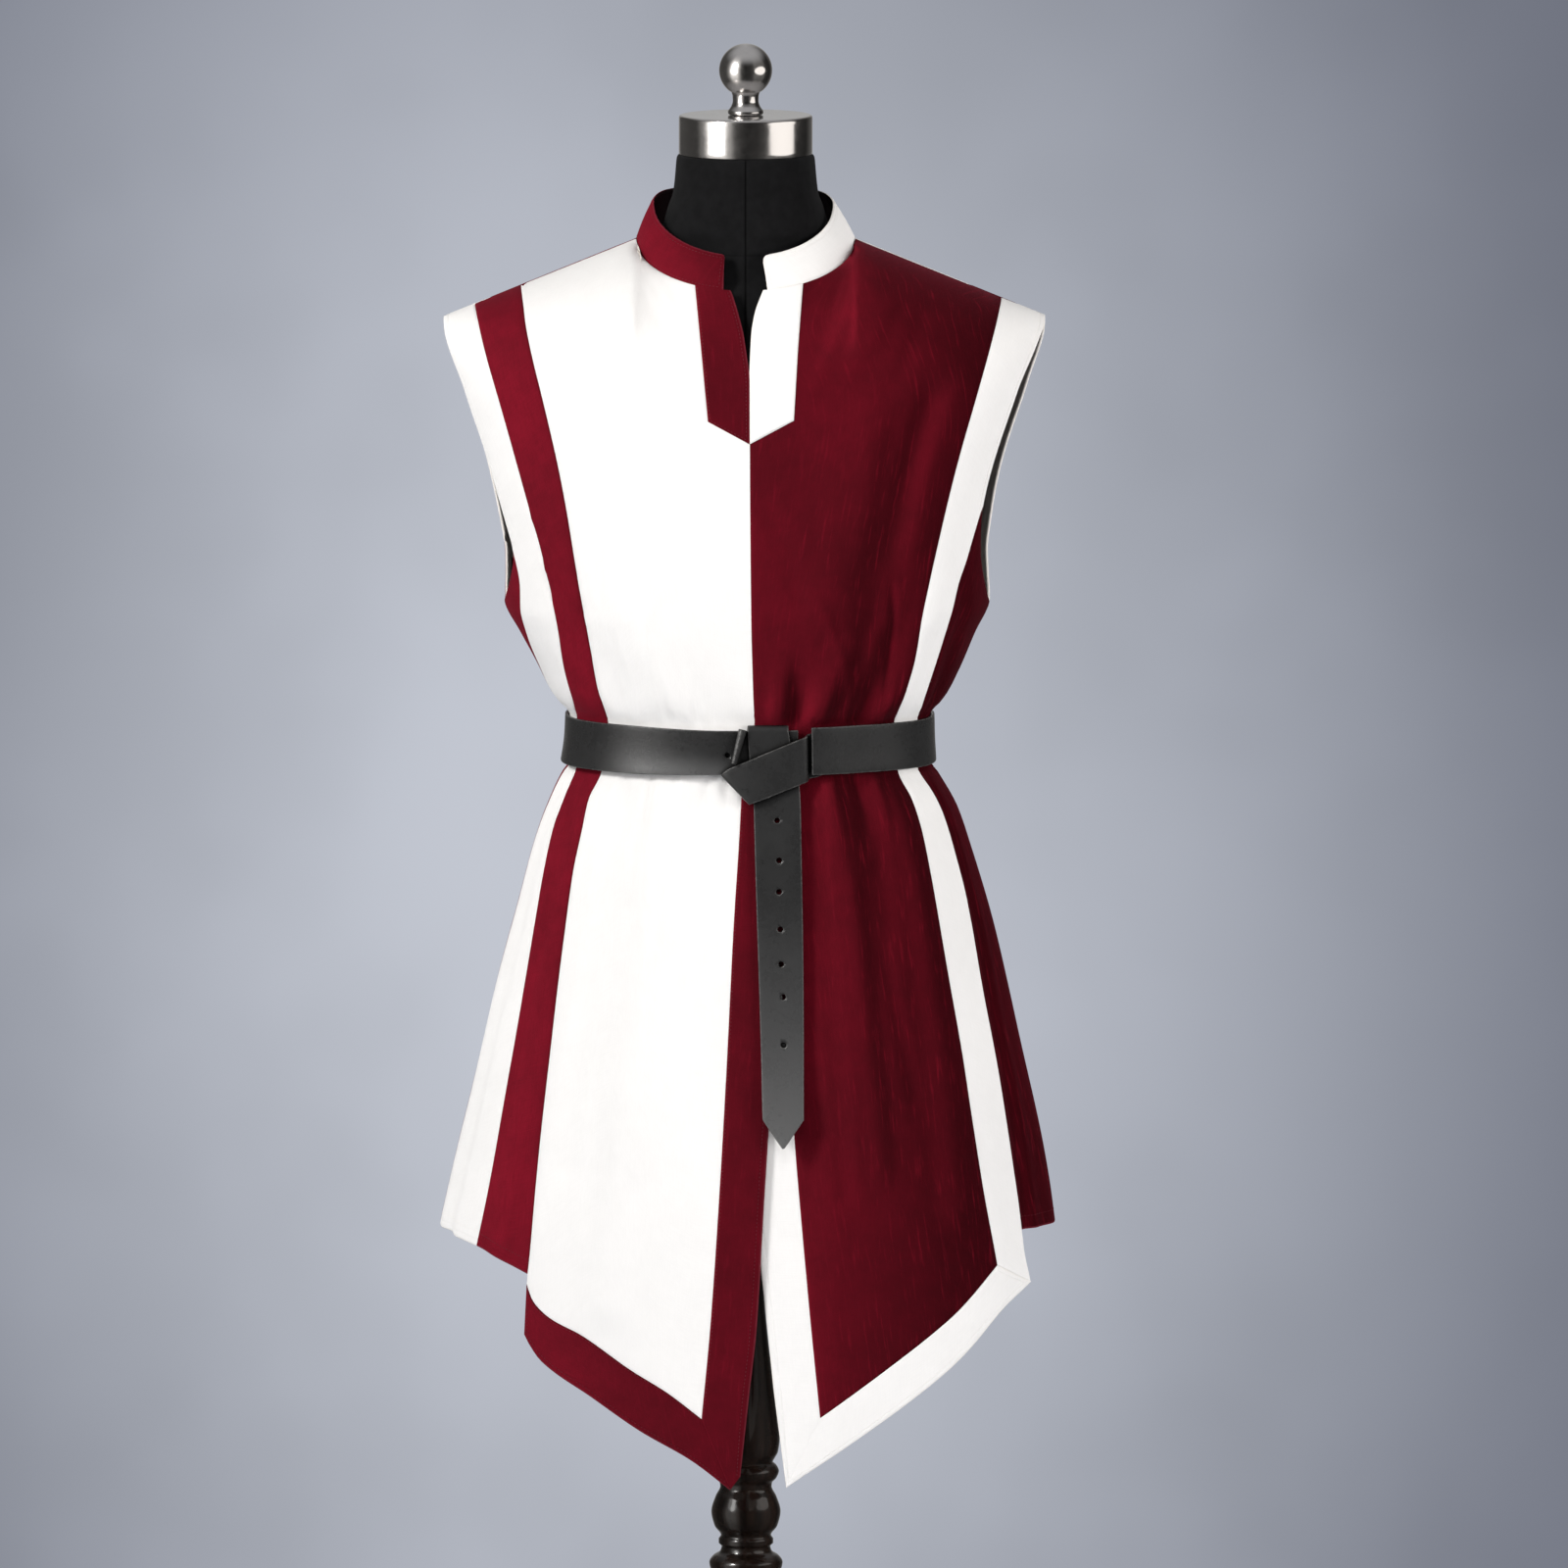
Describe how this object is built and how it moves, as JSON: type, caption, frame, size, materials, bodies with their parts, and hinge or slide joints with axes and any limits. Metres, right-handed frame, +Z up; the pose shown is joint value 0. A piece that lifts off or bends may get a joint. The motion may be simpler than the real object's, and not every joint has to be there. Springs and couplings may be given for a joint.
{
  "type": "parti-coloured medieval surcoat with its belt on a limbless dress form and stand",
  "caption": "Sleeveless parti-coloured surcoat with stand collar, slit skirt and knotted leather belt, worn on a limbless dress form on a turned stand.",
  "frame": {"origin": "on the floor, at the middle of the stand's base", "axes": "+Z up; the coat faces -Y; +X is towards the wearer's left"},
  "size_m": [0.5337, 0.372, 1.5989],
  "materials": {
    "burgundy_cloth": "burgundy cotton velvet with a short soft nap",
    "white_cloth": "off-white plain-woven cotton",
    "black_leather": "satin black strap leather",
    "black_jersey": "matt black stretch jersey over foam",
    "polished_steel": "polished steel",
    "dark_lacquered_wood": "turned wood, near-black gloss lacquer"
  },
  "bodies": {
    "root": {"front_panel_burgundy": "burgundy_cloth", "front_stripe_burgundy": "burgundy_cloth", "front_side_burgundy": "burgundy_cloth", "back_panel_burgundy": "burgundy_cloth", "back_stripe_burgundy": "burgundy_cloth", "back_side_burgundy": "burgundy_cloth", "placket_burgundy": "burgundy_cloth", "slit_band_burgundy": "burgundy_cloth", "hem_band_burgundy": "burgundy_cloth", "collar_burgundy": "burgundy_cloth", "front_panel_white": "white_cloth", "front_stripe_white": "white_cloth", "front_side_white": "white_cloth", "back_panel_white": "white_cloth", "back_stripe_white": "white_cloth", "back_side_white": "white_cloth", "placket_white": "white_cloth", "slit_band_white": "white_cloth", "hem_band_white": "white_cloth", "collar_white": "white_cloth", "belt_strap": "black_leather", "belt_knot_roll": "black_leather", "belt_knot_band": "black_leather", "belt_tail": "black_leather", "form_torso": "black_jersey", "neck_cap": "polished_steel", "finial": "polished_steel", "stand_post": "dark_lacquered_wood", "stand_base": "dark_lacquered_wood"}
  },
  "joints": []
}
